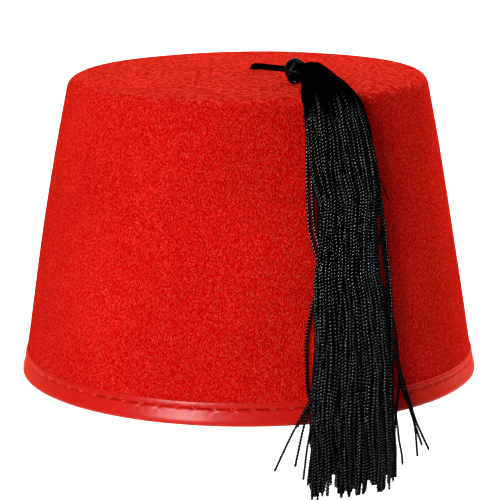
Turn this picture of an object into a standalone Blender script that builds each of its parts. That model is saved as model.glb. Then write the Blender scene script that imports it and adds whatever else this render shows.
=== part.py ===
"""A felt fez with a satin-bound rim and a corded tassel.

Metres, +Z up, the front towards -Y. The origin is the centre of the rim's opening, where a head goes in.
Azimuths are measured from the front (-Y) towards +X.
"""

import math

import bmesh
import bpy
from mathutils import Vector

# Felt body: the outer face of the felt, at the rim's plane and at the top
RIM_RADIUS = 0.0930
CROWN_RADIUS = 0.0729
CROWN_HEIGHT = 0.1224
CROWN_DOME = 0.0018
SIDE_BULGE = 0.00095
EDGE_ROUNDING = 0.0051
FELT_WALL = 0.0020

# Satin ribbon folded over the rim
BINDING_HEIGHT = 0.0089
TAPE_THICKNESS = 0.0005
RIBBON_REACH = 4.0

# Cord from its hole, a little right of the crown's middle, to the tassel's head
HOLE_RIGHT = 0.0022
CORD_DIAMETER = 0.0021
CORD_SLANT = math.radians(40.0)
CORD_BEND = 0.0048
STRAIGHT_SHARES = (0.15, 0.3, 0.45, 0.6, 0.8, 1.0)
STOP_KNOT_DIAMETER = 0.0052

# Tassel: where its head lies on the crown, its head and its skirt
HEAD_OUT = 0.0400
HEAD_AZIMUTH = math.radians(28.8)
HEAD_DIAMETER = 0.0094
LOCK_COUNT = 8
LOCK_DIAMETER = 0.0075
SIDE_LOCK_DIAMETER = 0.0056
TASSEL_DROP = 0.0268
TIP_RAGGEDNESS = 0.0032

# Space between neighbouring pieces
GAP = 0.0003

# How finely round shapes are divided
TURN_STEPS = 64
DOME_STEPS = 5
ROUNDING_STEPS = 6
SIDE_STEPS = 8
FOLD_STEPS = 6
BEND_STEPS = 4
HOLE_SIDES = 16
WELD_DISTANCE = 0.00001

# How the skirt spreads on its way. "place" counts along the hat: 0 at the head, 1 where the top edge
# begins to round, 2 where it ends, 3 at the rim and 4 at the tips. Left and right are the azimuths of the
# outermost locks, in degrees. "lift" is the space under a lock and "size" its thickness, both as shares
# of its own full diameter.
SKIRT = (
    {"place": 0.00, "left": 28.5, "right": 29.5, "lift": 0.25, "size": 0.75},
    {"place": 0.20, "left": 29.0, "right": 32.5, "lift": 0.15, "size": 0.95},
    {"place": 0.45, "left": 25.5, "right": 32.6, "lift": 0.20, "size": 1.00},
    {"place": 1.00, "left": 19.8, "right": 30.4, "lift": 0.05, "size": 1.00},
    {"place": 1.50, "left": 18.9, "right": 31.2, "lift": 0.00, "size": 1.00},
    {"place": 2.00, "left": 18.4, "right": 33.6, "lift": 0.00, "size": 1.00},
    {"place": 2.15, "left": 18.6, "right": 35.4, "lift": 0.00, "size": 1.00},
    {"place": 2.30, "left": 18.9, "right": 35.6, "lift": 0.00, "size": 1.00},
    {"place": 2.60, "left": 18.0, "right": 35.5, "lift": 0.00, "size": 1.00},
    {"place": 3.00, "left": 15.2, "right": 34.0, "lift": 0.00, "size": 1.00},
    {"place": 4.00, "left": 15.0, "right": 34.3, "lift": 0.00, "size": 0.80},
)
# Where each lock is sampled: few places on straight stretches, more round the edge
TOP_PLACES = (0.0, 0.2, 0.4, 0.6, 0.8, 1.0, 1.2, 1.4, 1.6, 1.8, 2.0)
SIDE_PLACES = (2.15, 2.3, 2.45, 2.6, 2.75, 2.9, 3.0, 3.5, 3.85, 4.0)
TIP_TAPER = 0.55
TIP_TURN = 2.4


def clear_scene():
    for obj in list(bpy.data.objects):
        bpy.data.objects.remove(obj)


def new_collection(name):
    collection = bpy.data.collections.new(name)
    bpy.context.scene.collection.children.link(collection)
    return collection


def material(name, colour, roughness, metallic=0.0):
    made = bpy.data.materials.new(name)
    made.use_nodes = True
    shader = made.node_tree.nodes["Principled BSDF"]
    shader.inputs["Base Color"].default_value = (*colour, 1.0)
    shader.inputs["Roughness"].default_value = roughness
    shader.inputs["Metallic"].default_value = metallic
    return made


def wall_lean():
    """How far the wall's outward normal points up, from the slope of the side."""
    return math.atan2(RIM_RADIUS - CROWN_RADIUS, CROWN_HEIGHT)


def wall_radius(height):
    """Outer radius of the felt's side at a height above the rim's plane."""
    share = height / CROWN_HEIGHT
    bulge = SIDE_BULGE * math.sin(math.pi * min(max(share, 0.0), 1.0))
    return RIM_RADIUS + (CROWN_RADIUS - RIM_RADIUS) * share + bulge


def rounding_centre():
    """(radius, height) of the centre of the arc that rounds the top edge."""
    height = CROWN_HEIGHT - EDGE_ROUNDING
    wall_end = height + EDGE_ROUNDING * math.sin(wall_lean())
    return wall_radius(wall_end) - EDGE_ROUNDING * math.cos(wall_lean()), height


def crown_height(radius):
    """Height of the felt's top face at a distance from the axis."""
    share = min(radius / rounding_centre()[0], 1.0)
    return CROWN_HEIGHT + CROWN_DOME * 0.5 * (1.0 + math.cos(math.pi * share))


def surface(place):
    """(radius, height, tilt) on the felt's outer face at one of the SKIRT table's places.

    A tilt of 0 faces up and a quarter turn faces out.
    """
    centre_radius, centre_height = rounding_centre()
    side_tilt = math.pi / 2 - wall_lean()
    if place <= 1.0:
        radius = HEAD_OUT + (centre_radius - HEAD_OUT) * place
        return radius, crown_height(radius), 0.0
    if place <= 2.0:
        tilt = side_tilt * (place - 1.0)
        radius = centre_radius + EDGE_ROUNDING * math.sin(tilt)
        return radius, centre_height + EDGE_ROUNDING * math.cos(tilt), tilt
    if place <= 3.0:
        top = centre_height + EDGE_ROUNDING * math.cos(side_tilt)
        height = top * (3.0 - place)
        return wall_radius(height), height, side_tilt
    return wall_radius(0.0), -TASSEL_DROP * (place - 3.0), side_tilt


def around(radius, height, azimuth):
    return Vector((radius * math.sin(azimuth), -radius * math.cos(azimuth), height))


def felt_outline():
    """The felt's outer face from the axis over the top edge and down the side."""
    dome_radii = [rounding_centre()[0] * step / DOME_STEPS for step in range(DOME_STEPS)]
    points = [(radius, crown_height(radius)) for radius in dome_radii]
    for step in range(ROUNDING_STEPS + 1):
        radius, height, _ = surface(1.0 + step / ROUNDING_STEPS)
        points.append((radius, height))
    top, foot = points[-1][1], felt_foot()
    for step in range(1, SIDE_STEPS + 1):
        height = top + (foot - top) * step / SIDE_STEPS
        points.append((wall_radius(height), height))
    return points


def fold_radius():
    """Outer radius of the ribbon's fold round the felt's edge."""
    return FELT_WALL / 2 + GAP + TAPE_THICKNESS


def felt_foot():
    """Height of the outer corner of the felt's cut edge, which leaves room for the fold below it."""
    return fold_radius() + FELT_WALL / 2 * math.sin(wall_lean())


def binding_outline():
    """The ribbon's outer face: down the outside of the felt, round its edge and up inside."""
    lean = wall_lean()
    out = Vector((math.cos(lean), math.sin(lean)))
    reach = GAP + TAPE_THICKNESS

    def leg(height, offset):
        return Vector((wall_radius(height), height)) + out * offset

    foot = felt_foot()
    heights = [BINDING_HEIGHT, (BINDING_HEIGHT + foot) / 2, foot]
    outside = [leg(height, reach) for height in heights]
    inside = [leg(height, -FELT_WALL - reach) for height in reversed(heights)]
    middle = leg(foot, -FELT_WALL / 2)
    fold = []
    for step in range(1, FOLD_STEPS):
        turn = lean - math.pi * step / FOLD_STEPS
        fold.append(middle + fold_radius() * Vector((math.cos(turn), math.sin(turn))))
    return [(point.x, point.y) for point in outside + fold + inside]


def turned(name, outline, wall, collection, finish):
    """A profile turned about the axis, with the wall's thickness put inside it."""
    mesh = bpy.data.meshes.new(name)
    points = [(radius, 0.0, height) for radius, height in outline]
    mesh.from_pydata(points, [(i, i + 1) for i in range(len(points) - 1)], [])
    obj = bpy.data.objects.new(name, mesh)
    collection.objects.link(obj)
    screw = obj.modifiers.new("Turn", "SCREW")
    screw.steps = screw.render_steps = TURN_STEPS
    screw.use_merge_vertices = True
    screw.merge_threshold = WELD_DISTANCE
    shell = obj.modifiers.new("Wall", "SOLIDIFY")
    shell.thickness = wall
    shell.offset = -1.0
    shell.use_even_offset = True
    obj.data.materials.append(finish)
    return obj


def helper(obj, cutters):
    """Keeps a shape that only cuts or joins out of the model."""
    cutters.objects.link(obj)
    obj.hide_render = True
    obj.display_type = "WIRE"
    return obj


def boolean(obj, other, operation):
    modifier = obj.modifiers.new(operation.title(), "BOOLEAN")
    modifier.operation = operation
    modifier.object = other
    modifier.solver = "EXACT"


def ball(name, diameter, centre, segments, rings):
    mesh = bpy.data.meshes.new(name)
    made = bmesh.new()
    bmesh.ops.create_uvsphere(made, u_segments=segments, v_segments=rings, radius=diameter / 2)
    made.to_mesh(mesh)
    made.free()
    obj = bpy.data.objects.new(name, mesh)
    obj.location = centre
    return obj


def tube(name, points, radii):
    """A round tube with closed ends along the points, as a mesh object that is in no collection yet."""
    curve = bpy.data.curves.new(name, "CURVE")
    curve.dimensions = "3D"
    curve.bevel_depth = 1.0
    curve.bevel_resolution = 2
    curve.use_fill_caps = True
    spline = curve.splines.new("POLY")
    spline.points.add(len(points) - 1)
    for target, point, radius in zip(spline.points, points, radii):
        target.co = (*point, 1.0)
        target.radius = radius
    guide = bpy.data.objects.new(name, curve)
    bpy.context.scene.collection.objects.link(guide)
    graph = bpy.context.evaluated_depsgraph_get()
    mesh = bpy.data.meshes.new_from_object(guide.evaluated_get(graph))
    bpy.data.objects.remove(guide)
    bpy.data.curves.remove(curve)
    welded = bmesh.new()
    welded.from_mesh(mesh)
    bmesh.ops.remove_doubles(welded, verts=welded.verts, dist=WELD_DISTANCE)
    bmesh.ops.recalc_face_normals(welded, faces=welded.faces)
    welded.to_mesh(mesh)
    welded.free()
    mesh.name = name
    return bpy.data.objects.new(name, mesh)


def head_centre():
    return around(HEAD_OUT, crown_height(HEAD_OUT) + GAP + HEAD_DIAMETER / 2, HEAD_AZIMUTH)


def hole_mouth():
    return Vector((HOLE_RIGHT, 0.0, crown_height(HOLE_RIGHT)))


def outward():
    """Level direction from the cord's hole towards the tassel's head."""
    to_head = head_centre() - hole_mouth()
    return Vector((to_head.x, to_head.y, 0.0)).normalized()


def hole_direction():
    return outward() * math.cos(CORD_SLANT) + Vector((0.0, 0.0, math.sin(CORD_SLANT)))


def cord_route():
    """The cord's middle line: up through the slanted hole, over to lie level, and taut to the head."""
    out, up, mouth, along = outward(), Vector((0.0, 0.0, 1.0)), hole_mouth(), hole_direction()
    depth = (FELT_WALL + GAP + STOP_KNOT_DIAMETER / 2) / math.sin(CORD_SLANT)
    bend_start = mouth + along * GAP
    points = [mouth - along * depth, mouth - along * depth / 2, bend_start]
    end = head_centre() - out * (HEAD_DIAMETER / 2 + GAP)
    rise = math.atan2(end.z - mouth.z - CORD_DIAMETER, (end - mouth).to_2d().length)
    for step in range(1, BEND_STEPS + 1):
        slope = CORD_SLANT + (rise - CORD_SLANT) * step / BEND_STEPS
        run = CORD_BEND * (math.sin(CORD_SLANT) - math.sin(slope))
        lift = CORD_BEND * (math.cos(slope) - math.cos(CORD_SLANT))
        points.append(bend_start + out * run + up * lift)
    straight = points[-1]
    points += [straight.lerp(end, share) for share in STRAIGHT_SHARES]
    return points


def skirt_at(place):
    """The SKIRT table's columns at any place, by straight lines between its rows."""
    for low, high in zip(SKIRT, SKIRT[1:]):
        if place <= high["place"]:
            share = (place - low["place"]) / (high["place"] - low["place"])
            return {column: low[column] + (high[column] - low[column]) * share for column in low}
    return dict(SKIRT[-1])


def over_binding(height):
    """How much further out a lock hangs, from well above the ribbon to where the ribbon is under it."""
    share = (RIBBON_REACH * BINDING_HEIGHT - height) / ((RIBBON_REACH - 1.0) * BINDING_HEIGHT)
    return (GAP + TAPE_THICKNESS) * min(max(share, 0.0), 1.0)


def lock_points(across, drop_share):
    """(points, radii) of one lock; across is 0 at the left of the skirt and 1 at its right."""
    points, radii = [], []
    full = LOCK_DIAMETER + (SIDE_LOCK_DIAMETER - LOCK_DIAMETER) * (2 * across - 1) ** 2
    for place in TOP_PLACES + SIDE_PLACES:
        row = skirt_at(place)
        reached = place if place <= 3.0 else 3.0 + (place - 3.0) * drop_share
        radius, height, tilt = surface(reached)
        offset = GAP + row["size"] * full / 2 + row["lift"] * full + over_binding(height)
        azimuth = math.radians(row["left"] + (row["right"] - row["left"]) * across)
        points.append(around(radius + offset * math.sin(tilt), height + offset * math.cos(tilt), azimuth))
        radii.append(row["size"] * full / 2)
    radii[-1] *= TIP_TAPER
    return points, radii


def make_felt_crown(parts, cutters):
    felt = material("Red felt", (0.62, 0.010, 0.004), 0.95)
    crown = turned("felt_crown", felt_outline(), FELT_WALL, parts, felt)
    mesh = bpy.data.meshes.new("cord_hole")
    made = bmesh.new()
    bore = CORD_DIAMETER / 2 + GAP
    length = 2 * (FELT_WALL + CORD_DIAMETER) / math.sin(CORD_SLANT)
    bmesh.ops.create_cone(made, cap_ends=True, segments=HOLE_SIDES, radius1=bore, radius2=bore, depth=length)
    made.to_mesh(mesh)
    made.free()
    cutter = bpy.data.objects.new("cord_hole", mesh)
    cutter.rotation_mode = "QUATERNION"
    cutter.rotation_quaternion = hole_direction().to_track_quat("Z", "Y")
    cutter.location = hole_mouth()
    boolean(crown, helper(cutter, cutters), "DIFFERENCE")


def make_rim_binding(parts):
    satin = material("Red satin ribbon", (0.65, 0.012, 0.006), 0.35)
    turned("rim_binding", binding_outline(), TAPE_THICKNESS, parts, satin)


def make_tassel_cord(parts, cutters):
    points = cord_route()
    cord = tube("tassel_cord", points, [CORD_DIAMETER / 2] * len(points))
    cord.data.materials.append(material("Black rayon cord", (0.008, 0.008, 0.009), 0.6))
    parts.objects.link(cord)
    knot = ball("stop_knot", STOP_KNOT_DIAMETER, points[0], segments=12, rings=8)
    boolean(cord, helper(knot, cutters), "UNION")


def make_tassel(parts, cutters):
    tassel = ball("tassel", HEAD_DIAMETER, head_centre(), segments=16, rings=10)
    tassel.data.materials.append(material("Black rayon tassel", (0.006, 0.006, 0.007), 0.6))
    parts.objects.link(tassel)
    for index in range(LOCK_COUNT):
        across = index / (LOCK_COUNT - 1)
        drop_share = 1.0 - TIP_RAGGEDNESS / TASSEL_DROP * (0.5 + 0.5 * math.sin(TIP_TURN * index))
        lock = tube(f"lock_{index + 1}", *lock_points(across, drop_share))
        boolean(tassel, helper(lock, cutters), "UNION")


def main():
    clear_scene()
    parts, cutters = new_collection("fez_hat"), new_collection("fez_hat_cutters")
    make_felt_crown(parts, cutters)
    make_rim_binding(parts)
    make_tassel_cord(parts, cutters)
    make_tassel(parts, cutters)


main()
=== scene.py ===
import math
import random

import bmesh
import bpy
import numpy as np
from mathutils import Matrix, Vector, kdtree, noise


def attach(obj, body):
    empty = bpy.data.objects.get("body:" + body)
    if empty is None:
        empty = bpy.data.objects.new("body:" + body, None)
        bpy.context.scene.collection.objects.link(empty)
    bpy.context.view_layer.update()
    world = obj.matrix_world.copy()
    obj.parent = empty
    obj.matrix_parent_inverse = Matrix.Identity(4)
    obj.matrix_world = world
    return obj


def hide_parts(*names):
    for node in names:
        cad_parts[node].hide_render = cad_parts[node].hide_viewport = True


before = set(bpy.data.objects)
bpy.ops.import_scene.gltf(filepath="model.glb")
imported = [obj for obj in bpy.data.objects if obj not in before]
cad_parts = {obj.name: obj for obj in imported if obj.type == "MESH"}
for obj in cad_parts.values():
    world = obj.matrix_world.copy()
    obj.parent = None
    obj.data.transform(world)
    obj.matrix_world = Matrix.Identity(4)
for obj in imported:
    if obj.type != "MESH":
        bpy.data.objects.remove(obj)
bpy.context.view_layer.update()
print("frame loaded:", len(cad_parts), "nodes")

mm = 0.001
scene = bpy.context.scene
scene.view_settings.view_transform = "Standard"  # keeps the strong red as strong as it is

# the hat's own sizes, which every piece below follows
hat = {
    "rimRadius": 93.0 * mm,
    "topRadius": 72.9 * mm,
    "height": 122.4 * mm,
    "dome": 1.8 * mm,
    "bulge": 0.95 * mm,
    "edgeRounding": 5.1 * mm,
    "wall": 2.0 * mm,
    "gap": 0.3 * mm,
    "headOut": 40.0 * mm,      # tassel's head, from the middle of the crown
    "headAzimuth": 28.8,       # degrees from the front towards +X
    "headSize": 9.4 * mm,
    "drop": 26.8 * mm,         # tassel below the rim
    "slope": 0.377,            # degrees that the crown's top slopes down to the left
}
lean = math.atan2(hat["rimRadius"] - hat["topRadius"], hat["height"])
sideTilt = math.pi / 2 - lean


def wallRadius(height):
    share = height / hat["height"]
    bulge = hat["bulge"] * np.sin(np.pi * np.clip(share, 0, 1))
    return hat["rimRadius"] + (hat["topRadius"] - hat["rimRadius"]) * share + bulge


edgeHeight = hat["height"] - hat["edgeRounding"]
edgeRadius = (wallRadius(edgeHeight + hat["edgeRounding"] * math.sin(lean))
              - hat["edgeRounding"] * math.cos(lean))
wallTop = edgeHeight + hat["edgeRounding"] * math.cos(sideTilt)


def crownHeight(radius):
    share = np.minimum(radius / edgeRadius, 1)
    return hat["height"] + hat["dome"] * 0.5 * (1 + np.cos(np.pi * share))


def alongHat(place, start=None):
    # 0 at the tassel's head, 1 where the edge begins to round, 2 where it ends,
    # 3 at the rim and 4 at the tips
    start = hat["headOut"] if start is None else start
    place = np.asarray(place, float)
    topRadius = start + (edgeRadius - start) * np.minimum(place, 1)
    turn = sideTilt * np.clip(place - 1, 0, 1)
    sideHeight = wallTop * (3 - np.clip(place, 2, 3))
    radius = np.where(place <= 1, topRadius, edgeRadius + hat["edgeRounding"] * np.sin(turn))
    radius = np.where(place > 2, wallRadius(sideHeight), radius)
    height = np.where(place <= 1, crownHeight(topRadius),
                      edgeHeight + hat["edgeRounding"] * np.cos(turn))
    height = np.where(place > 2, sideHeight, height)
    return radius, np.where(place > 3, -hat["drop"] * (place - 3), height), turn


def around(radius, height, azimuth):
    return np.stack([radius * np.sin(azimuth), -radius * np.cos(azimuth), height + 0 * radius], -1)


def leaned(points):
    # the crown's top slopes a little, and the rim stays level
    points = np.array(points, float)
    rise = np.clip(points[..., 2], 0, None) / hat["height"]
    points[..., 2] += rise * points[..., 0] * math.tan(math.radians(hat["slope"]))
    return points


def leanMesh(mesh):
    outOfCreaseShade = np.zeros(len(mesh.vertices) * 3)
    mesh.vertices.foreach_get("co", outOfCreaseShade)
    mesh.vertices.foreach_set("co", leaned(outOfCreaseShade.reshape(-1, 3)).ravel())
    mesh.update()


def linear(code):
    # sRGB hex to the linear values that the shader takes
    parts = [int(code[i:i + 2], 16) / 255 for i in (0, 2, 4)]
    return (*[p / 12.92 if p <= 0.04045 else ((p + 0.055) / 1.055) ** 2.4 for p in parts], 1.0)


def addNode(tree, kind, settings):
    # settings: sockets to link, values of inputs, and properties of the node
    node = tree.nodes.new(kind)
    for name, value in settings.items():
        if isinstance(value, bpy.types.NodeSocket):
            tree.links.new(value, node.inputs[name])
        elif isinstance(name, int) or name in node.inputs:
            node.inputs[name].default_value = value
        else:
            setattr(node, name, value)
    return node


def objectPlace(tree):
    return addNode(tree, "ShaderNodeTexCoord", {}).outputs["Object"]


def axisOf(tree, vector, axis):
    return addNode(tree, "ShaderNodeSeparateXYZ", {"Vector": vector}).outputs[axis]


def stretched(tree, place, scale):
    return addNode(tree, "ShaderNodeMapping", {"Vector": place, "Scale": scale}).outputs["Vector"]


def noisy(tree, place, size, settings):
    node = addNode(tree, "ShaderNodeTexNoise", {"Vector": place, "Scale": 1 / size, **settings})
    return node.outputs["Fac"]


def mapped(tree, source, band, values=(0.0, 1.0)):
    # the first value where the band starts, the second where it ends
    return addNode(tree, "ShaderNodeMapRange", {
        0: source, 1: band[0], 2: band[1], 3: values[0], 4: values[1]}).outputs[0]


def combined(tree, operation, *terms):
    return addNode(tree, "ShaderNodeMath", {"operation": operation, **dict(enumerate(terms))}).outputs[0]


def blended(tree, share, first, second, blend="MIX"):
    return addNode(tree, "ShaderNodeMix", {
        "data_type": "RGBA", "blend_type": blend, 0: share, 6: first, 7: second}).outputs[2]


def addBump(tree, shader, source, strength, distance):
    bump = addNode(tree, "ShaderNodeBump", {
        "Strength": strength, "Distance": distance, "Height": source})
    tree.links.new(bump.outputs["Normal"], shader.inputs["Normal"])


def newMaterial(name, settings):
    material = bpy.data.materials.new(name)
    material.use_nodes = True
    shader = material.node_tree.nodes["Principled BSDF"]
    for socket, value in settings.items():
        shader.inputs[socket].default_value = value
    return material, material.node_tree, shader


def ramp(tree, source, stops):
    node = addNode(tree, "ShaderNodeValToRGB", {"Fac": source})
    elements = node.color_ramp.elements
    while len(elements) < len(stops):
        elements.new(0.5)
    for element, (position, colour) in zip(elements, stops):
        element.position = position
        element.color = linear(colour)
    return node.outputs["Color"]


def placed(name, data):
    obj = bpy.data.objects.new(name, data)
    scene.collection.objects.link(obj)
    return obj


def meshOf(name, made):
    mesh = bpy.data.meshes.new(name)
    made.to_mesh(mesh)
    made.free()
    return mesh


def newPiece(name, mesh, material):
    mesh.name = name
    mesh.materials.clear()
    mesh.materials.append(material)
    mesh.shade_smooth()
    piece = placed(name, mesh)
    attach(piece, "root")
    return piece


def meshFrom(obj):
    # what the object's modifiers or bevel make, as a plain mesh; the object goes
    bpy.context.view_layer.update()
    mesh = bpy.data.meshes.new_from_object(obj.evaluated_get(bpy.context.evaluated_depsgraph_get()))
    data = obj.data
    bpy.data.objects.remove(obj)
    if data.users == 0:
        (bpy.data.curves if isinstance(data, bpy.types.Curve) else bpy.data.meshes).remove(data)
    return mesh


def welded(mesh, distance=0.001 * mm):
    made = bmesh.new()
    made.from_mesh(mesh)
    bmesh.ops.remove_doubles(made, verts=made.verts, dist=distance)
    bmesh.ops.recalc_face_normals(made, faces=made.faces)
    made.to_mesh(mesh)
    made.free()
    return mesh


# camera, at the photograph's angle
view = {
    "back": 979.68 * mm,
    "height": 259.89 * mm,
    "pitch": 12.1656,          # degrees
    "roll": 0.268,
    "lens": 174.16,
    "sensor": 36,
    "shiftX": 0.00328,
    "farthest": 20,
}


def addCamera():
    camera = placed("camera", bpy.data.cameras.new("camera"))
    camera.data.lens = view["lens"]
    camera.data.sensor_width = view["sensor"]
    camera.data.shift_x = view["shiftX"]
    camera.data.clip_end = view["farthest"]
    place = Matrix.Translation((0, -view["back"], view["height"]))
    tip = Matrix.Rotation(math.radians(90 - view["pitch"]), 4, "X")
    roll = Matrix.Rotation(math.radians(-view["roll"]), 4, "Z")
    camera.matrix_world = place @ tip @ roll
    scene.camera = camera


addCamera()

# felt: wool felt blocked in one piece, matt, with a pebbly nap
felt = {
    "spins": 280,
    "domeRings": 16,
    "edgeRings": 9,
    "sideRings": 64,
    "foot": 2.0 * mm,          # height of the cut edge, inside the ribbon's fold
    "swell": 0.22 * mm,        # slow unevenness from blocking by hand
    "swellScale": 26.0,
    "calm": (9.0 * mm, 20.0 * mm),       # height where the swell starts, and the way it takes to grow
    "nap": 0.012 * mm,
    "napScale": 230.0,
    "grain": 0.40 * mm,
    "topGrain": 1.6 * mm,
    "topBand": (-3.0 * mm, 0.4 * mm),    # from the crown's height, where the top's coarser nap and its painted sheen take over
    "topPaintedSheen": 0.4,            # how much of the paler top colour is mixed in: painted sheen, for the top seen at a grazing angle
    "pebble": 0.8 * mm,        # how deep the nap looks
    "toneScale": 24.0,
    "fleck": 1.4 * mm,
    "fleckBand": (0.22, 0.08),
    "pillGlintHeight": 121.2 * mm,  # the nap has balled up most along the top edge, and there its flecks are painted lighter as highlights
    "pillGlintBand": (0.8 * mm, 2.6 * mm),
    "pillGlintElsewhere": 0.3,
    "belly": 0.6 * mm,         # the left side stands out a little at half height
    "bellyHeight": 62.0 * mm,
    "bellyReach": 34.0 * mm,
    "press": 0.45 * mm,        # how far the felt stands out over the ribbon's edge
    "pressEdge": 0.8 * mm,
    "pressFade": 16.0 * mm,
}


def pressedFelt():
    # wool felt: no shine, a soft sheen at grazing angles from the fibre ends,
    # and a nap that looks longer on top; the top is painted paler as sheen, and the flecks are painted
    # lighter as highlights
    material, tree, shader = newMaterial("pressedWoolFelt", {
        "Roughness": 1.0, "Specular IOR Level": 0.0,
        "Sheen Weight": 0.09, "Sheen Roughness": 0.4, "Sheen Tint": linear("FF5030"),
    })
    place = objectPlace(tree)
    high = axisOf(tree, place, "Z")
    onTop = mapped(tree, high, [hat["height"] + edge for edge in felt["topBand"]])
    brushed = stretched(tree, place, (1.0, 1.0, 0.5))
    fine = {"Detail": 1.0, "Roughness": 0.5, "Distortion": 0.4}
    grain = addNode(tree, "ShaderNodeMix", {
        "Factor": onTop,
        "A": noisy(tree, brushed, felt["grain"], fine),
        "B": noisy(tree, place, felt["topGrain"], fine),
    }).outputs[0]
    dyed = ramp(tree, grain, [(0.38, "BC0201"), (0.50, "CD0905"), (0.62, "DF2E20")])
    # painted sheen: a paler colour for the top, where it is seen at a grazing angle
    paintedSheenTone = ramp(tree, grain, [(0.40, "B9170F"), (0.50, "D42518"), (0.60, "EE4633")])
    # bright flecks: partly balled-up nap, partly painted highlight on the fibre tips, most along the top
    # edge
    fleck = addNode(tree, "ShaderNodeTexVoronoi", {
        "Vector": place, "Scale": 1 / felt["fleck"], "Randomness": 1.0}).outputs["Distance"]
    fromEdge = combined(tree, "ABSOLUTE", combined(tree, "SUBTRACT", high, felt["pillGlintHeight"]))
    pillsAndGlints = mapped(tree, fromEdge, felt["pillGlintBand"], (1.0, felt["pillGlintElsewhere"]))
    spot = combined(tree, "MULTIPLY", mapped(tree, fleck, felt["fleckBand"]), pillsAndGlints)
    withGlintFlecks = blended(tree, spot, dyed, linear("FF7C60"))
    withPaintedSheen = blended(tree, combined(tree, "MULTIPLY", onTop, felt["topPaintedSheen"]), withGlintFlecks, paintedSheenTone)
    tone = noisy(tree, place, 1 / felt["toneScale"], {"Detail": 3.0})
    shade = ramp(tree, tone, [(0.3, "F0F0F0"), (0.7, "FFFFFF")])
    tree.links.new(blended(tree, 1.0, withPaintedSheen, shade, "MULTIPLY"), shader.inputs["Base Color"])
    addBump(tree, shader, grain, 1.0, felt["pebble"])
    return material


def spun(points, steps):
    # a profile of (radius, height) points turned once about the hat's axis
    made = bmesh.new()
    verts = [made.verts.new((radius, 0, height)) for radius, height in points]
    edges = [made.edges.new(pair) for pair in zip(verts, verts[1:])]
    bmesh.ops.spin(made, geom=verts + edges, axis=(0, 0, 1), cent=(0, 0, 0), angle=2 * math.pi,
                   steps=steps, use_merge=True)
    bmesh.ops.remove_doubles(made, verts=made.verts, dist=0.01 * mm)
    bmesh.ops.recalc_face_normals(made, faces=made.faces)
    return made


def makeFelt():
    places = np.concatenate([
        np.linspace(0, 1, felt["domeRings"], endpoint=False),
        np.linspace(1, 2, felt["edgeRings"], endpoint=False),
        np.linspace(2, 3 - felt["foot"] / wallTop, felt["sideRings"]),
    ])
    radius, height, _ = alongHat(places, start=0)
    made = spun(list(zip(radius, height)), felt["spins"])
    made.normal_update()
    outward = sum(face.normal.dot(face.calc_center_median()) for face in made.faces)
    if outward < 0:
        bmesh.ops.reverse_faces(made, faces=made.faces)
        made.normal_update()
    calmBelow, calmFade = felt["calm"]
    for vert in made.verts:
        co = vert.co
        calm = min(1, max(0, (co.z - calmBelow) / calmFade))  # true to size inside the ribbon
        swell = noise.noise(co * felt["swellScale"]) * felt["swell"] * calm
        nap = noise.noise(co * felt["napScale"]) * felt["nap"]
        above = co.z - ribbon["height"]
        press = (felt["press"] * min(1, max(0, above / felt["pressEdge"] + 0.6))
                 * math.exp(-max(above, 0) / felt["pressFade"]))
        belly = (felt["belly"] * max(0, -co.x / hat["rimRadius"])
                 * math.exp(-((co.z - felt["bellyHeight"]) / felt["bellyReach"]) ** 2))
        vert.co += vert.normal * (swell + nap + press + belly)
    shell = placed("felt", meshOf("felt", made))
    wall = shell.modifiers.new("wall", "SOLIDIFY")
    wall.thickness = hat["wall"]
    wall.offset = -1
    wall.use_even_offset = True
    hole = cordHole()
    cut = shell.modifiers.new("hole", "BOOLEAN")
    cut.operation = "DIFFERENCE"
    cut.object = hole
    cut.solver = "EXACT"
    mesh = meshFrom(shell)
    bpy.data.objects.remove(hole)
    leanMesh(mesh)
    piece = newPiece("felt_body", mesh, pressedFelt())
    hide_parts("felt_crown")
    print("felt:", len(mesh.polygons), "faces")


# the cord that holds the tassel, from its hole near the middle of the crown to the tassel's head
cord = {
    "diameter": 2.1 * mm,
    "full": 2.65 * mm,         # across the crests of its plies
    "holeRight": 2.5 * mm,
    "slant": math.radians(55),
    "bend": 3.0 * mm,
    "stopKnot": 5.2 * mm,
    "shares": (0.15, 0.3, 0.45, 0.6, 0.8, 1.0),
    "plies": 3,
    "cleft": 0.16,             # how deep the plies part, as a share of the radius
    "sides": 15,
    "lay": 5.0 * mm,
    "spacing": 0.45 * mm,
    "flare": 0.33,             # how much thicker it is where it comes out of the felt
    "flareReach": 1.5 * mm,
    "wrap": 0.42 * mm,
    "wrapDepth": 0.07,
}
up = Vector((0, 0, 1))
headAzimuth = math.radians(hat["headAzimuth"])
headHeight = crownHeight(hat["headOut"]) + hat["gap"] + hat["headSize"] / 2
headMiddle = Vector(around(hat["headOut"], headHeight, headAzimuth))
mouth = Vector((cord["holeRight"], 0, crownHeight(cord["holeRight"])))
outward = Vector((headMiddle.x - mouth.x, headMiddle.y - mouth.y, 0)).normalized()
holeWay = outward * math.cos(cord["slant"]) + up * math.sin(cord["slant"])


def cordRoute():
    depth = (hat["wall"] + hat["gap"] + cord["stopKnot"] / 2) / math.sin(cord["slant"])
    bendStart = mouth + holeWay * hat["gap"]
    points = [mouth - holeWay * depth, mouth - holeWay * depth / 2, bendStart]
    end = headMiddle - outward * (hat["headSize"] / 2 + hat["gap"])
    rise = math.atan2(end.z - mouth.z - cord["diameter"], (end - mouth).to_2d().length)
    for step in (0.25, 0.5, 0.75, 1.0):
        slope = cord["slant"] + (rise - cord["slant"]) * step
        run = cord["bend"] * (math.sin(cord["slant"]) - math.sin(slope))
        lift = cord["bend"] * (math.cos(slope) - math.cos(cord["slant"]))
        points.append(bendStart + outward * run + up * lift)
    straight = points[-1]
    return points + [straight.lerp(end, share) for share in cord["shares"]]


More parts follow.
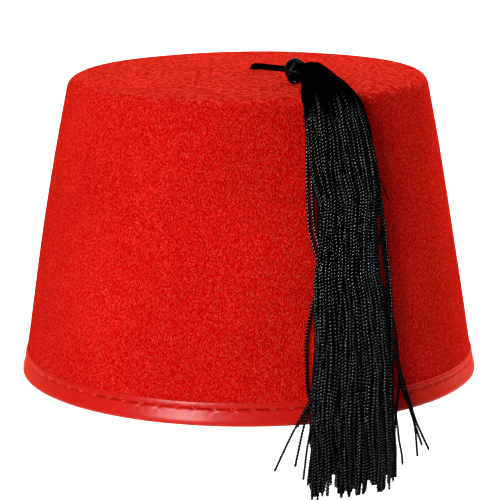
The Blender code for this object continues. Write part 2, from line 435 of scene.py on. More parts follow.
def cordHole():
    made = bmesh.new()
    bore = cord["full"] / 2 + hat["gap"]
    length = 2 * (hat["wall"] + cord["diameter"]) / math.sin(cord["slant"])
    bmesh.ops.create_cone(made, cap_ends=True, segments=24, radius1=bore, radius2=bore, depth=length)
    turn = holeWay.to_track_quat("Z", "Y").to_matrix().to_4x4()
    bmesh.ops.transform(made, matrix=Matrix.Translation(mouth) @ turn, verts=made.verts)
    hole = placed("hole", meshOf("hole", made))
    hole.hide_render = True
    return hole


def smoothLine(points, spacing):
    # a smooth curve through the points, sampled evenly, by Catmull-Rom
    points = np.array(points, float)
    ends = np.vstack([2 * points[0] - points[1], points, 2 * points[-1] - points[-2]])
    t = np.linspace(0, 1, 12, endpoint=False)[:, None]
    dense = []
    for a, b, c, d in zip(ends, ends[1:], ends[2:], ends[3:]):
        dense.append(0.5 * (2 * b + (c - a) * t + (2 * a - 5 * b + 4 * c - d) * t ** 2
                            + (3 * b - a - 3 * c + d) * t ** 3))
    dense = np.vstack(dense + [points[-1:]])
    run = np.concatenate([[0], np.cumsum(np.linalg.norm(np.diff(dense, axis=0), axis=1))])
    count = max(2, round(run[-1] / spacing) + 1)
    along = np.linspace(0, run[-1], count)
    return np.stack([np.interp(along, run, dense[:, axis]) for axis in range(3)], -1)


def lobedSection(name, radius, lobes, depth, sides):
    # the cross-section of twisted plies: a ring with as many lobes as plies
    curve = bpy.data.curves.new(name, "CURVE")
    curve.dimensions = "2D"
    spline = curve.splines.new("POLY")
    spline.points.add(sides - 1)
    for index, point in enumerate(spline.points):
        turn = 2 * math.pi * index / sides
        reach = radius * (1 - depth * (0.5 - 0.5 * math.cos(lobes * turn)))
        point.co = (reach * math.cos(turn), reach * math.sin(turn), 0, 1)
    spline.use_cyclic_u = True
    return bpy.data.objects.new(name, curve)


def twisted(name, lines, section, lays, phases, taper=0.75, swell=1.0):
    # sweeps the section along each line, turning it once for every lay of that line
    curve = bpy.data.curves.new(name, "CURVE")
    curve.dimensions = "3D"
    curve.bevel_mode = "OBJECT"
    curve.bevel_object = section
    curve.use_fill_caps = True
    for line, lay, phase in zip(lines, lays, phases):
        spline = curve.splines.new("POLY")
        spline.points.add(len(line) - 1)
        spline.points.foreach_set("co", np.hstack([line, np.ones((len(line), 1))]).ravel())
        step = np.linalg.norm(line[1] - line[0])
        spline.points.foreach_set("tilt", phase + 2 * math.pi * step / lay * np.arange(len(line)))
        sizes = np.ones(len(line)) * swell
        sizes[-1] = taper
        spline.points.foreach_set("radius", sizes)
    mesh = welded(meshFrom(placed(name, curve)))
    markCrests(mesh, lines)
    return mesh


def markCrests(mesh, lines):
    # how far each point stands from its strand's middle: 1 on a ply's crest, 0 in the cleft between two
    strand = np.repeat(np.arange(len(lines)), [len(line) for line in lines])
    tree = kdtree.KDTree(len(strand))
    for index, centre in enumerate(np.vstack(lines)):
        tree.insert(centre, index)
    tree.balance()
    found = [tree.find(vert.co) for vert in mesh.vertices]
    reach = np.array([item[2] for item in found])
    low, high = np.percentile(reach, (2, 98))
    crest = mesh.attributes.new("crest", "FLOAT", "POINT")
    crest.data.foreach_set("value", np.clip((reach - low) / (high - low), 0, 1))
    # a random dullness for each strand, partly painted shade for strands that lie in the shade of others
    dull = np.random.default_rng(len(strand)).uniform(0.15, 1, len(lines)) ** 0.6
    shine = mesh.attributes.new("shine", "FLOAT", "POINT")
    shine.data.foreach_set("value", dull[strand[[item[1] for item in found]]])


# black rayon: heights and shares at which its shine changes
yarn = {
    "fibre": 0.6 * mm,
    "crest": (0.68, 0.90),               # share of the way up a ply where the shine starts and is full; below it, in the cleft, the shine is taken out as painted shade
    "packedShade": (105.5 * mm, 110.5 * mm),  # heights over which the shine goes where the strands lie packed: painted shade, where they would shade one another
    "packedReach": 16.0 * mm,            # the shiniest strands keep it this much higher
    "ends": (60.0 * mm, -10.0 * mm),     # heights over which it weakens towards the cut ends
    "dullBand": (112.0 * mm, 122.0 * mm),
    "dullest": 0.85,
}


def twistedRayon(name, roughness, shine, topShine=0.0, endShine=0.85):
    # rayon, spun and plied: black, with a shine that breaks into a dot on the crest of each ply, and
    # painted shade that takes the shine out of the clefts, out of the packed neck and out of some whole
    # strands
    material, tree, shader = newMaterial(name, {"IOR": 2.4, "Roughness": roughness})
    place = objectPlace(tree)
    high = axisOf(tree, place, "Z")
    fibre = noisy(tree, place, yarn["fibre"], {"Detail": 2.0})
    tree.links.new(ramp(tree, fibre, [(0.3, "000000"), (0.7, "040404")]), shader.inputs["Base Color"])
    crest, own = [addNode(tree, "ShaderNodeAttribute", {"attribute_name": each}).outputs["Fac"]
                  for each in ("crest", "shine")]
    # painted shade: the shine fades near the head, where the packed strands would shade one another; the
    # shiniest strands keep it higher
    start = combined(tree, "MULTIPLY_ADD", own, -yarn["packedReach"], high)
    packedShade = mapped(tree, start, yarn["packedShade"], (1.0, topShine))
    ends = mapped(tree, high, yarn["ends"], (1.0, endShine))
    lit = mapped(tree, crest, yarn["crest"], (0.0, shine))
    for share in (packedShade, ends, own):
        lit = combined(tree, "MULTIPLY", lit, share)
    tree.links.new(lit, shader.inputs["Specular IOR Level"])
    if topShine == 0:
        # what lies packed near the top is rougher too
        rough = mapped(tree, high, yarn["dullBand"], (roughness, yarn["dullest"]))
        tree.links.new(rough, shader.inputs["Roughness"])
    addBump(tree, shader, fibre, 0.35, 0.08 * mm)
    return material


def makeCord(rayon):
    route = leaned([list(point) for point in cordRoute()])
    line = smoothLine(route, cord["spacing"])
    section = lobedSection("cordSection", cord["full"] / 2, cord["plies"], cord["cleft"], cord["sides"])
    near = np.linalg.norm(line - leaned(list(mouth)), axis=1)
    flare = 1 + cord["flare"] * np.exp(-(near / cord["flareReach"]) ** 2)
    mesh = twisted("cord", [line], section, [cord["lay"]], [0.4], 1.0, flare)
    piece = newPiece("crown_cord", mesh, rayon)
    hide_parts("tassel_cord")
    ball = bmesh.new()
    bmesh.ops.create_icosphere(ball, subdivisions=4, radius=cord["stopKnot"] / 2)
    for vert in ball.verts:
        wrap = math.sin(vert.co.z / cord["wrap"] + 2 * math.atan2(vert.co.y, vert.co.x))
        vert.co *= 1 + cord["wrapDepth"] * wrap
    bmesh.ops.translate(ball, verts=ball.verts, vec=Vector(route[0]))
    stop = newPiece("stop_knot", meshOf("stopKnot", ball), rayon)
    tuple(leaned(list(mouth)))
    bpy.data.objects.remove(section)


# the tassel's head: the cord wound and knotted round the bundle's neck
knot = {
    "radius": 4.05 * mm,
    "core": 4.5 * mm,
    "cord": 2.1 * mm,
    "leads": 3,
    "bights": 4,
    "rings": 240,
    "reach": 58.0,             # degrees that the windings rise and fall
    "weave": 0.3 * mm,
    "weavePhase": 0.6,
    "tip": (62.0, 20.0),       # degrees that it is turned about X and Y
    "lump": 0.06,
    "lumpScale": 330,
}


def makeKnot(rayon):
    turns = np.linspace(0, 2 * math.pi * knot["leads"], knot["rings"], endpoint=False)
    rise = math.radians(knot["reach"]) * np.sin(knot["bights"] * turns / knot["leads"])
    over = np.cos(2 * knot["bights"] * turns / knot["leads"] + knot["weavePhase"])
    radius = knot["radius"] + knot["weave"] * over
    line = np.stack([radius * np.cos(rise) * np.cos(turns), radius * np.cos(rise) * np.sin(turns),
                     radius * np.sin(rise)], -1)
    tipX, tipY = [math.radians(angle) for angle in knot["tip"]]
    tip = Matrix.Rotation(tipX, 3, "X") @ Matrix.Rotation(tipY, 3, "Y")
    line = line @ np.array(tip).T + np.array(headMiddle)
    line = np.vstack([line, line[:2]])
    section = lobedSection("knotSection", knot["cord"] / 2, cord["plies"], cord["cleft"], cord["sides"])
    mesh = twisted("knotCord", [leaned(line)], section, [cord["lay"]], [0.0], 1.0)
    made = bmesh.new()
    made.from_mesh(mesh)
    core = bmesh.ops.create_icosphere(made, subdivisions=4, radius=knot["core"])["verts"]
    for vert in core:
        vert.co *= 1 + knot["lump"] * noise.noise(vert.co * knot["lumpScale"])
    bmesh.ops.translate(made, verts=core, vec=Vector(leaned(list(headMiddle))))
    made.to_mesh(mesh)
    made.free()
    piece = newPiece("tassel_knot", mesh, rayon)
    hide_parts("tassel")
    bpy.data.objects.remove(section)
    print("knot:", len(mesh.polygons), "faces")


# the tassel's skirt: twisted strands, side by side and several deep
skirt = {
    "columns": 23,
    "layers": 4,
    "strand": 1.34 * mm,
    "cleft": 0.5,
    "sides": 8,
    "lay": 2.45 * mm,
    "layRange": (0.86, 1.16),
    "ringsALay": 8,
    "thinPly": 0.55,           # the last loose strand's size, as it is a single ply
    "innerStrand": 1.75 * mm,
    "innerCleft": 0.1,
    "innerSides": 6,
    "innerSpacing": 1.25 * mm,
    "innerLays": 4,
    "start": 0.07,             # share of the way from the head to the crown's edge
    "past": 1.1,               # share of the drop that the strands are laid out for
    "places": 130,
    "middle": 3.0 * mm,        # the bundle's middle, from the felt
    "jitter": (0.35, 0.3),     # across and through the bundle, in strands
    "waves": (30, 110),        # millimetres
    "wander": 0.75 * mm,
    "sideThickness": 0.42,     # the bundle's sides, as a share of its middle
    "filled": 0.85,
    "clearance": 1.2 * mm,     # between neighbouring strands' middles
    "rounds": 14,
    "push": 0.45,
    "smoothings": 3,
    "cut": 27.0 * mm,          # how far below the rim the strands are cut
    "cutRange": (16.0 * mm, 30.0 * mm),
    "ragged": 1.7 * mm,
    # where the ends stop short: share of the width from the left, half width and depth
    "notches": ((0.22, 0.042, 9.0 * mm), (0.63, 0.012, 3.0 * mm), (0.73, 0.010, 2.0 * mm),
                (0.82, 0.018, 4.5 * mm), (0.90, 0.014, 3.0 * mm), (1.00, 0.045, 5.5 * mm)),
}
# the bundle's outermost strands, left and right in degrees,
# how far it stands off the felt and how thick it is in millimetres
spread = (
    {"place": 0.07, "left": 26.4, "right": 32.2, "lift": 1.2, "thick": 5.4},
    {"place": 0.20, "left": 27.0, "right": 35.2, "lift": 1.7, "thick": 7.6},
    {"place": 0.45, "left": 23.6, "right": 35.2, "lift": 2.1, "thick": 8.2},
    {"place": 1.00, "left": 18.0, "right": 31.7, "lift": 0.7, "thick": 7.4},
    {"place": 1.50, "left": 16.9, "right": 32.6, "lift": 0.0, "thick": 7.0},
    {"place": 2.00, "left": 16.9, "right": 34.8, "lift": 0.0, "thick": 7.0},
    {"place": 2.10, "left": 17.1, "right": 36.8, "lift": 0.0, "thick": 7.0},
    {"place": 2.20, "left": 17.2, "right": 38.1, "lift": 0.0, "thick": 7.0},
    {"place": 2.29, "left": 19.2, "right": 37.8, "lift": 0.0, "thick": 7.0},
    {"place": 2.39, "left": 19.0, "right": 35.4, "lift": 0.0, "thick": 7.0},
    {"place": 2.54, "left": 17.0, "right": 34.8, "lift": 0.0, "thick": 6.9},
    {"place": 2.62, "left": 16.5, "right": 36.2, "lift": 0.0, "thick": 6.9},
    {"place": 2.77, "left": 16.4, "right": 36.3, "lift": 0.0, "thick": 6.8},
    {"place": 2.84, "left": 15.6, "right": 36.8, "lift": 0.2, "thick": 6.8},
    {"place": 2.92, "left": 14.9, "right": 35.9, "lift": 0.6, "thick": 6.6},
    {"place": 3.00, "left": 14.4, "right": 35.3, "lift": 0.8, "thick": 6.4},
    {"place": 3.60, "left": 14.7, "right": 36.4, "lift": 0.7, "thick": 6.0},
    {"place": 4.10, "left": 14.3, "right": 36.5, "lift": 0.6, "thick": 5.8},
)
# strands that have come away: azimuth in degrees, height and distance from the felt in millimetres
loose = (
    ((19.0, 118.0, 4.0), (17.1, 112.4, 2.0), (16.8, 103.4, 1.2), (16.3, 91.5, 1.0), (16.1, 79.6, 1.0),
     (16.2, 73.6, 1.0), (17.4, 64.5, 1.4), (18.6, 50.0, 3.0), (18.5, 20.0, 3.0), (18.0, 0.0, 3.0),
     (17.5, -24.0, 3.0)),
    ((19.0, 110.0, 3.0), (17.8, 99.0, 1.8), (17.6, 90.0, 1.0), (17.5, 80.0, 1.0), (17.6, 74.0, 1.2),
     (18.4, 66.0, 2.0), (19.5, 50.0, 3.0), (19.0, 0.0, 3.0), (18.8, -23.0, 3.0)),
    ((17.5, 52.0, 3.0), (16.0, 45.0, 1.5), (14.6, 36.1, 1.0), (14.1, 30.5, 0.9), (13.9, 21.0, 0.9),
     (13.9, 13.4, 1.2), (14.6, 6.0, 2.5), (15.6, -6.0, 3.0), (16.0, -22.0, 3.0)),
    ((18.0, 30.0, 3.0), (16.4, 19.0, 3.0), (14.9, 10.7, 2.4), (12.5, 4.2, 2.4), (9.5, -4.6, 2.0),
     (5.8, -17.9, 1.5)),
    ((18.0, 27.0, 4.0), (16.0, 16.0, 4.0), (14.4, 9.2, 3.4), (12.1, 3.0, 2.8), (11.1, -0.6, 2.4)),
    ((16.5, 22.0, 2.6), (14.4, 10.3, 2.4), (13.7, 5.8, 2.4), (12.1, -4.5, 2.0), (10.6, -16.5, 1.8)),
    ((16.5, 18.0, 3.0), (14.6, 5.8, 3.0), (14.2, -1.0, 2.6), (13.4, -9.8, 2.0), (12.5, -21.9, 2.0)),
    ((17.0, 10.0, 4.0), (14.8, -6.0, 3.0), (14.1, -14.7, 2.6), (13.5, -24.2, 2.4)),
    ((36.0, 92.0, 4.0), (38.6, 81.1, 2.0), (38.8, 75.8, 1.4), (38.6, 70.5, 1.2), (38.7, 64.3, 1.1),
     (38.6, 58.2, 1.1), (38.6, 47.4, 1.2), (38.0, 38.0, 1.6), (36.0, 24.0, 3.0), (35.0, 0.0, 3.0),
     (34.6, -22.0, 3.0)),
    ((35.5, 88.0, 3.0), (38.1, 77.0, 1.6), (38.0, 68.3, 1.0), (38.0, 57.5, 1.0), (38.0, 51.4, 1.2),
     (37.2, 42.0, 2.0), (35.5, 26.0, 3.0), (34.4, 0.0, 3.0), (33.6, -24.0, 3.0)),
    ((36.0, 86.0, 3.4), (38.0, 74.0, 3.2), (38.2, 62.0, 2.9), (38.2, 50.0, 3.0), (37.0, 36.0, 4.0),
     (35.0, 10.0, 4.0), (34.4, -25.0, 4.0)),
    ((36.6, 90.0, 3.4), (38.0, 80.0, 1.8), (38.2, 72.5, 1.3), (37.7, 68.6, 1.2), (36.7, 65.8, 1.4),
     (35.5, 62.8, 2.2), (34.6, 57.0, 3.4), (34.0, 40.0, 3.8), (33.8, 0.0, 3.8), (33.6, -21.0, 3.8)),
    ((17.2, 40.0, 3.4), (16.0, 12.0, 3.0), (15.4, -4.0, 2.3), (15.3, -23.0, 2.1)),
    ((35.0, 52.0, 3.0), (37.0, 43.9, 1.6), (37.9, 32.1, 1.0), (38.6, 27.6, 1.0), (39.2, 21.3, 1.2),
     (38.8, 14.0, 2.2), (37.0, 4.0, 3.0), (35.8, -10.0, 3.0), (35.2, -23.0, 3.0)),
    ((36.0, 49.0, 3.0), (37.8, 41.7, 1.8), (39.4, 30.9, 1.1), (39.5, 23.9, 1.0), (39.6, 17.6, 1.2),
     (40.4, 8.8, 2.0), (41.6, 0.6, 2.4), (43.7, -6.6, 2.0), (48.5, -19.1, 1.6)),
    ((36.5, 26.0, 3.0), (38.5, 16.4, 2.4), (38.7, 10.9, 2.2), (40.2, 4.2, 2.2), (41.1, -0.4, 2.4),
     (42.8, -7.5, 2.2), (44.0, -20.0, 2.0)),
    ((36.5, 24.0, 4.0), (38.3, 14.1, 3.4), (38.9, 9.2, 3.0), (40.4, 3.0, 3.0), (42.8, -7.5, 2.6),
     (45.6, -16.2, 2.0)),
    ((35.0, 12.0, 3.0), (36.5, -2.7, 3.0), (37.3, -11.0, 3.0), (38.2, -17.4, 3.0), (38.5, -21.6, 3.0)),
    ((36.4, 97.0, 3.0), (38.2, 92.0, 1.6), (39.6, 88.6, 1.2), (40.4, 85.5, 1.2), (41.4, 81.1, 1.4)),
)


def hatPoint(azimuth, height, lift):
    radius = wallRadius(np.clip(height, 0, None)) + lift * math.cos(lean)
    return around(radius, height + lift * math.sin(lean), np.radians(azimuth))


def strandLines():
    # where each strand runs: laid out in rows, then pushed apart wherever two would touch
    draw = np.random.default_rng(7)
    top = edgeRadius - hat["headOut"]
    marks = np.cumsum([0, top, hat["edgeRounding"] * sideTilt, wallTop / math.cos(lean),
                       hat["drop"] * skirt["past"]])
    run = np.linspace(skirt["start"] * top, marks[-1], skirt["places"])
    place = np.interp(run, marks, (0, 1, 2, 3, 3 + skirt["past"]))
    left, right, lift, thick = (
        np.interp(place, [row["place"] for row in spread], [row[column] for row in spread])
        for column in ("left", "right", "lift", "thick"))
    radius, height, tilt = alongHat(place)
    width = np.radians(right - left) * (radius + skirt["middle"])
    columns, layers = skirt["columns"], skirt["layers"]
    count = columns * layers
    column, layer = np.meshgrid(np.arange(columns), np.arange(layers))
    sideJitter, deepJitter = skirt["jitter"]
    across = (column.ravel() + 0.5 + draw.uniform(-sideJitter, sideJitter, count)) / columns
    deep = (layer.ravel() + 0.5 + draw.uniform(-deepJitter, deepJitter, count)) / layers
    waves = []
    for _ in range(4):
        length = draw.uniform(*skirt["waves"], count) * mm
        waves.append((length, draw.uniform(0, 6.28, count), draw.normal(0, 1, count)))

    def wandering(parts):
        return sum(size[:, None] * np.sin(run / length[:, None] * 2 * np.pi + phase[:, None])
                   for length, phase, size in parts) * skirt["wander"]

    strong = np.clip(place, 0, 1)
    u = (across[:, None] - 0.5) * width + wandering(waves[:2]) / 1.4 * strong
    half = skirt["strand"] / 2

    def room(sideways):
        # the bundle's thickness, less towards its sides
        share = np.clip(2 * sideways / width, -1, 1)
        side = skirt["sideThickness"]
        return thick * mm * (side + (1 - side) * np.sqrt(1 - share ** 2))

    h = half + deep[:, None] * (room(u) - 2 * half) + wandering(waves[2:]) / 1.6 * strong
    packing = 2 / math.sqrt(3)  # of strands side by side in a honeycomb
    fits = np.sqrt(width * thick * mm * skirt["filled"] * packing / count)
    clear = np.minimum(skirt["clearance"], 0.93 * fits)
    for _ in range(skirt["rounds"]):
        du, dh = u[:, None] - u[None], h[:, None] - h[None]
        apart = np.sqrt(du ** 2 + dh ** 2) + 1e-9
        push = np.clip(clear - apart, 0, None) / apart * skirt["push"]
        push[np.arange(count), np.arange(count)] = 0
        u, h = u + (push * du).sum(1), h + (push * dh).sum(1)
        u = np.clip(u, -width / 2, width / 2)
        h = np.clip(h, half, np.maximum(room(u) - half, half))
    for _ in range(skirt["smoothings"]):
        for grid in (u, h):
            grid[:, 1:-1] = (grid[:, :-2] + 2 * grid[:, 1:-1] + grid[:, 2:]) / 4
    azimuth = np.radians((left + right) / 2) + u / (radius + skirt["middle"])
    off = hat["gap"] + h + lift * mm
    points = around(radius + off * np.sin(tilt), height + off * np.cos(tilt), azimuth)
    share = u[:, -1] / width[-1] + 0.5 + draw.normal(0, 0.01, count)
    cut = skirt["cut"] + draw.normal(0, skirt["ragged"], count)
    for middle, reach, depth in skirt["notches"]:
        cut -= depth * np.exp(-((share - middle) / reach) ** 2)
    lines = []
    for strand, low in zip(points, np.clip(cut, *skirt["cutRange"])):
        kept = strand[strand[:, 2] > -low]
        lines.append(np.vstack([kept, kept[-1] + (kept[-1] - kept[-2]) * 0.5]))
    outer = [line for line, share in zip(lines, deep) if share > 0.5]
    inner = [line for line, share in zip(lines, deep) if share <= 0.5]
    return outer, inner


def makeSkirt(rayon, dark, dull):
    outer, inner = strandLines()
    away = [np.array([hatPoint(azimuth, height * mm, lift * mm) for azimuth, height, lift in points])
            for points in loose]
    third = len(outer) // 3
    parts = [  # lines, material and size of each piece; the last is a single thin ply
        (outer[:third], rayon, 1.0),
        (outer[third:len(outer) * 2 // 3], rayon, 1.0),
        (outer[len(outer) * 2 // 3:], rayon, 1.0),
        (away[:-1], dark, 1.0),
        (away[-1:], dark, skirt["thinPly"]),
    ]
    draw = random.Random(3)
    spacing = skirt["lay"] / skirt["ringsALay"]
    section = lobedSection("strandSection", skirt["strand"] / 2, 2, skirt["cleft"], skirt["sides"])
    total = 0
    for number, (part, material, size) in enumerate(parts, 1):
        lines = [leaned(smoothLine(line, spacing)) for line in part]
        phases = [draw.uniform(0, 6.28) for _ in lines]
        lays = [skirt["lay"] * draw.uniform(*skirt["layRange"]) for _ in lines]
        mesh = twisted("strands", lines, section, lays, phases, swell=size)
        newPiece(f"tassel_strands_{number}", mesh, material)
        total += len(mesh.polygons)
    plain = lobedSection("innerSection", skirt["innerStrand"] / 2, 2,
                         skirt["innerCleft"], skirt["innerSides"])
    lines = [leaned(smoothLine(line, skirt["innerSpacing"])) for line in inner]
    lays = [skirt["lay"] * skirt["innerLays"]] * len(lines)
    mesh = twisted("innerStrands", lines, plain, lays, [0.0] * len(lines))
    newPiece("tassel_strands_inner", mesh, dull)
    bpy.data.objects.remove(section)
    bpy.data.objects.remove(plain)
    print("skirt:", len(outer) + len(away), "strands shown,", len(inner), "inside,", total, "faces")


# red satin ribbon, folded over the rim and sewn down
ribbon = {
    "height": 8.9 * mm,
    "thickness": 0.5 * mm,
    "shine": 0.33,
    "stitches": 78,
    "stepsAStitch": 8,
    "firstStitch": -8.3,       # degrees, a stitch left of the front
    "groove": 6.3 * mm,        # height of the row of stitches
    "grooveDepth": 0.20 * mm,
    "grooveWidth": 0.38 * mm,
    "dimple": 0.34 * mm,       # at each stitch
    "dimpleWidth": 0.75 * mm,
    "pucker": 0.26 * mm,       # creases that fan out from each stitch
    "puckerWidth": 1.6 * mm,
    "wave": 0.12 * mm,
    "waveScale": 60,
    "edgeWave": 0.18 * mm,     # of the upper edge
    "edgeWaveScale": 45,
    "edgeWaveFrom": 1.5 * mm,  # above the stitches
    "crown": 0.10 * mm,        # how far it swells above the stitches
    "puff": 0.50 * mm,         # and below them
    "droop": 0.45 * mm,        # slack in the fold, below the felt's cut edge
    "squareness": 0.55,
    "foldSteps": 16,
    "float": 0.35 * mm,        # the weave's floats
    "creaseShadeBreaks": 9.0 * mm,
    "creaseShadeBand": (0.15 * mm, 0.45 * mm),  # from the stitches, where the painted shade along the crease ends
    "glintBand": (0.4 * mm, 1.0 * mm),     # from the stitches, where the shine starts and is full; nearer in it is cut as painted shade
    "flatWidth": 22.0 * mm,
}


def ribbonSatin():
    # polyester satin: floats lie along the ribbon, and a red sheen keeps its ends bright
    material, tree, shader = newMaterial("ribbonSatin", {
        "Roughness": 0.31, "Sheen Weight": 1.0, "Sheen Roughness": 0.5, "Sheen Tint": linear("FF4830"),
    })
    place = addNode(tree, "ShaderNodeUVMap", {"uv_map": "UVMap"}).outputs["UV"]
    floats = noisy(tree, stretched(tree, place, (0.12, 1.0, 1.0)), ribbon["float"], {"Detail": 2.0})
    dyed = ramp(tree, floats, [(0.3, "B00D06"), (0.7, "C6140A")])
    toGroove = ribbon["height"] - ribbon["groove"]
    off = combined(tree, "ABSOLUTE", combined(tree, "SUBTRACT", axisOf(tree, place, "Y"), toGroove))
    # painted shade: along the row of stitches the colour is darkened towards 6E0905, more in some places
    # than in others, and the shine is cut
    leastOutOfShade = mapped(tree, noisy(tree, place, ribbon["creaseShadeBreaks"], {}), (0.4, 0.6), (0.15, 0.75))
    outOfCreaseShade = mapped(tree, off, ribbon["creaseShadeBand"], (leastOutOfShade, 1.0))
    tree.links.new(blended(tree, outOfCreaseShade, linear("6E0905"), dyed), shader.inputs["Base Color"])
    glint = mapped(tree, off, ribbon["glintBand"], (0.0, ribbon["shine"]))
    tree.links.new(glint, shader.inputs["Specular IOR Level"])
    addBump(tree, shader, floats, 0.25, 0.05 * mm)
    return material


def ribbonProfile():
    # (radius, height) from the ribbon's outer edge round the fold to its inner edge
    out = np.array([math.cos(lean), math.sin(lean)])
    reach = hat["gap"] + ribbon["thickness"]
    fold = hat["wall"] / 2 + reach
    foot = fold + hat["wall"] / 2 * math.sin(lean)

    def puffed(height):
        # flat above the stitches; below them it swells out towards the fold
        if height > ribbon["groove"]:
            share = (ribbon["height"] - height) / (ribbon["height"] - ribbon["groove"])
            return ribbon["crown"] * math.sin(math.pi * share)
        share = (ribbon["groove"] - height) / (ribbon["groove"] - foot)
        return ribbon["puff"] * share ** 1.5

    points = []
    heights = np.concatenate([np.linspace(ribbon["height"], ribbon["groove"], 10),
                              np.linspace(ribbon["groove"], foot, 13)[1:]])
    for height in heights:
        base = np.array([wallRadius(height), height])
        points.append(base + out * (reach + puffed(height)))
    middle = np.array([wallRadius(foot), foot]) - out * hat["wall"] / 2
    start, end = points[-1], middle - out * fold
    centre, half = (start + end) / 2, np.linalg.norm(start - end) / 2
    down = np.array([math.sin(lean), -math.cos(lean)])
    for step in range(1, ribbon["foldSteps"]):
        # a flattened fold, tighter at its two corners
        turn = math.pi * step / ribbon["foldSteps"]
        sideways = math.copysign(abs(math.cos(turn)) ** ribbon["squareness"], math.cos(turn)) * half
        sunk = (fold + ribbon["droop"]) * math.sin(turn) ** ribbon["squareness"]
        points.append(centre + out * sideways + down * sunk)
    for height in np.linspace(foot, ribbon["height"], 14):
        base = np.array([wallRadius(height), height])
        points.append(base - out * (hat["wall"] + reach))
    return np.array(points)


def makeRibbon():
    points = ribbonProfile()
    across = np.concatenate([[0], np.cumsum(np.linalg.norm(np.diff(points, axis=0), axis=1))])
    steps = ribbon["stitches"] * ribbon["stepsAStitch"]
    made = spun([tuple(point) for point in points], steps)
    made.normal_update()
    pitch = 2 * math.pi / ribbon["stitches"]
    uv = made.loops.layers.uv.new("UVMap")
    for face in made.faces:
        for loop in face.loops:
            co = loop.vert.co
            spot = np.argmin((points[:, 0] - co.xy.length) ** 2 + (points[:, 1] - co.z) ** 2)
            turn = math.atan2(co.x, -co.y) % (2 * math.pi)
            if turn < pitch and face.calc_center_median().x < 0:
                turn += 2 * math.pi
            loop[uv].uv = (turn * hat["rimRadius"], across[spot])
    outside = [vert for vert in made.verts if vert.co.xy.length > wallRadius(vert.co.z)]
    for vert in outside:
        azimuth = math.degrees(math.atan2(vert.co.x, -vert.co.y)) - ribbon["firstStitch"]
        turn = math.radians(azimuth) / pitch
        sideways = (turn - round(turn)) * pitch * hat["rimRadius"]
        above = vert.co.z - ribbon["groove"]
        away = math.hypot(sideways, above)
        groove = math.exp(-(above / ribbon["grooveWidth"]) ** 2) * ribbon["grooveDepth"]
        dimple = math.exp(-(away / ribbon["dimpleWidth"]) ** 2) * ribbon["dimple"]
        pucker = (math.exp(-(away / ribbon["puckerWidth"]) ** 2)
                  * math.cos(4 * math.atan2(above, sideways)) * ribbon["pucker"])
        wave = noise.noise(vert.co * ribbon["waveScale"]) * ribbon["wave"]
        out = Vector((vert.co.x, vert.co.y, 0)).normalized()
        vert.co += out * (wave - groove - dimple + pucker)
        if above > ribbon["edgeWaveFrom"]:
            edge = noise.noise(vert.co * ribbon["edgeWaveScale"]) * ribbon["edgeWave"]
            vert.co.z += edge * above / (ribbon["height"] - ribbon["groove"])
    shell = placed("ribbon", meshOf("ribbon", made))
    wall = shell.modifiers.new("cloth", "SOLIDIFY")
    wall.thickness = ribbon["thickness"]
    wall.offset = -1
    mesh = meshFrom(shell)
    piece = newPiece("satin_ribbon", mesh, ribbonSatin())
    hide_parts("rim_binding")
    print("ribbon:", len(mesh.polygons), "faces")


# sewing thread, lying in the ribbon's groove at each stitch
thread = {
    "diameter": 0.42 * mm,
    "cleft": 0.3,
    "sides": 6,
    "lay": 0.9 * mm,
    "spacing": 0.2 * mm,
    "shares": (0.1, 0.4, 0.75, 1.0),
    "arm": 1.0 * mm,
    "rise": 0.5 * mm,
    "off": 0.53 * mm,          # from the wall, at the needle's hole
    "arch": 0.5 * mm,
    "tone": 0.4 * mm,
}


def makeThread():
    # each stitch shows as a shallow V, its two arms meeting in the needle's hole
    lines = []
    pitch = 2 * math.pi / ribbon["stitches"]
    for index in range(ribbon["stitches"]):
        middle = math.radians(ribbon["firstStitch"]) + pitch * index
        for side in (-1, 1):
            line = []
            for share in thread["shares"]:
                azimuth = middle + side * share * thread["arm"] / hat["rimRadius"]
                off = thread["off"] + thread["arch"] * (share - share ** 4)
                height = ribbon["groove"] + share * thread["rise"]
                line.append(around(wallRadius(height) + off, height, azimuth))
            lines.append(smoothLine(line, thread["spacing"]))
    section = lobedSection("threadSection", thread["diameter"] / 2, 2, thread["cleft"], thread["sides"])
    mesh = twisted("thread", lines, section, [thread["lay"]] * len(lines), [0.0] * len(lines))
    # polyester thread: nearly matt; a little paler than the ribbon, partly as painted highlight for the
    # glints where the cloth puckers at each stitch
    material, tree, shader = newMaterial("sewingThread", {"Roughness": 0.7, "Specular IOR Level": 0.15})
    tone = noisy(tree, objectPlace(tree), thread["tone"], {})
    tree.links.new(ramp(tree, tone, [(0.3, "D0281C"), (0.7, "F05A48")]), shader.inputs["Base Color"])
    newPiece("rim_stitches", mesh, material)
    bpy.data.objects.remove(section)
    print("thread:", ribbon["stitches"], "stitches")


# plain stage and soft studio light
studio = {
    "floor": {"z": -0.40, "width": 2.4, "length": 1.9},
    "backdrop": {"y": 0.95, "width": 0.75, "height": 1.5, "below": 0.1, "glow": 1.05},
    "world": 0.04,
    "aim": 0.055,              # height that the lamps point at
    "key": {"azimuth": -32.0, "elevation": 21.0, "distance": 1.3, "width": 0.38, "height": 0.95,
            "power": 20.4, "glossy": True},
    "front": {"azimuth": -6.0, "elevation": 0.0, "distance": 1.3, "width": 0.9, "height": 0.9,
              "power": 0.9, "glossy": False},
    "top": {"azimuth": 160.0, "elevation": 74.0, "distance": 1.3, "width": 1.0, "height": 1.0,
            "power": 7.0, "glossy": False},
    "right": {"azimuth": 131.0, "elevation": 12.0, "distance": 1.4, "width": 0.6, "height": 1.0,
              "power": 31.0, "glossy": False},
    "left": {"azimuth": -134.0, "elevation": 0.0, "distance": 1.4, "width": 0.6, "height": 1.0,
             "power": 6.5, "glossy": False},
}


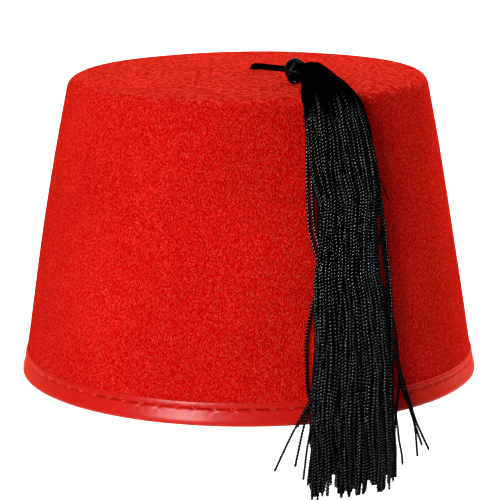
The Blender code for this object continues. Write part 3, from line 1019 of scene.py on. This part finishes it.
def addLight(name, settings):
    data = bpy.data.lights.new(name, "AREA")
    data.shape = "RECTANGLE"
    data.size = settings["width"]
    data.size_y = settings["height"]
    data.energy = settings["power"]
    lamp = placed(name, data)
    elevation = math.radians(settings["elevation"])
    aim = Vector((0, 0, studio["aim"]))
    way = Vector(around(math.cos(elevation), math.sin(elevation), math.radians(settings["azimuth"])))
    lamp.location = aim + way * settings["distance"]
    lamp.rotation_euler = way.to_track_quat("Z", "Y").to_euler()
    lamp.visible_glossy = settings["glossy"]  # only the key shows as a highlight


def stagePlane(name, width, length, matrix, material):
    made = bmesh.new()
    bmesh.ops.create_grid(made, x_segments=1, y_segments=1, size=0.5)
    bmesh.ops.scale(made, vec=(width, length, 1), verts=made.verts)
    bmesh.ops.transform(made, matrix=matrix, verts=made.verts)
    mesh = meshOf(name, made)
    mesh.materials.append(material)
    return placed(name, mesh)


def makeStudio():
    # painted floor: pale and matt, it throws a little light up under the rim
    painted = newMaterial("paintedFloor", {
        "Base Color": linear("D8D8D8"), "Roughness": 0.9, "Specular IOR Level": 0.1})[0]
    # lit paper: glows enough to stay plain white behind the hat
    paper = newMaterial("litPaper", {
        "Base Color": linear("F4F4F4"), "Roughness": 0.9, "Specular IOR Level": 0.1,
        "Emission Color": (1, 1, 1, 1), "Emission Strength": studio["backdrop"]["glow"]})[0]
    ground, back = studio["floor"], studio["backdrop"]
    level = Matrix.Translation((0, 0, ground["z"]))
    floor = stagePlane("floor", ground["width"], ground["length"], level, painted)
    middle = ground["z"] - back["below"] + back["height"] / 2
    upright = Matrix.Translation((0, back["y"], middle)) @ Matrix.Rotation(math.pi / 2, 4, "X")
    stagePlane("backdrop", back["width"], back["height"], upright, paper)
    world = bpy.data.worlds.new("studio")
    world.use_nodes = True
    background = world.node_tree.nodes["Background"]
    background.inputs["Color"].default_value = (1, 1, 1, 1)
    background.inputs["Strength"].default_value = studio["world"]
    scene.world = world
    for name in ("key", "front", "top", "right", "left"):
        addLight(name, studio[name])


cordRayon = twistedRayon("wornRayonCord", 0.7, 0.02)
knotRayon = twistedRayon("knottedRayonCord", 0.30, 0.13, 1.0)
strandRayon = twistedRayon("twistedRayonStrand", 0.18, 0.76)
looseRayon = twistedRayon("looseRayonStrand", 0.18, 0.66, endShine=0.1)  # loose ends catch less light
makeCord(cordRayon)
makeFelt()
makeRibbon()
makeThread()
makeKnot(knotRayon)
makeSkirt(strandRayon, looseRayon, cordRayon)
makeStudio()

bpy.context.view_layer.update()
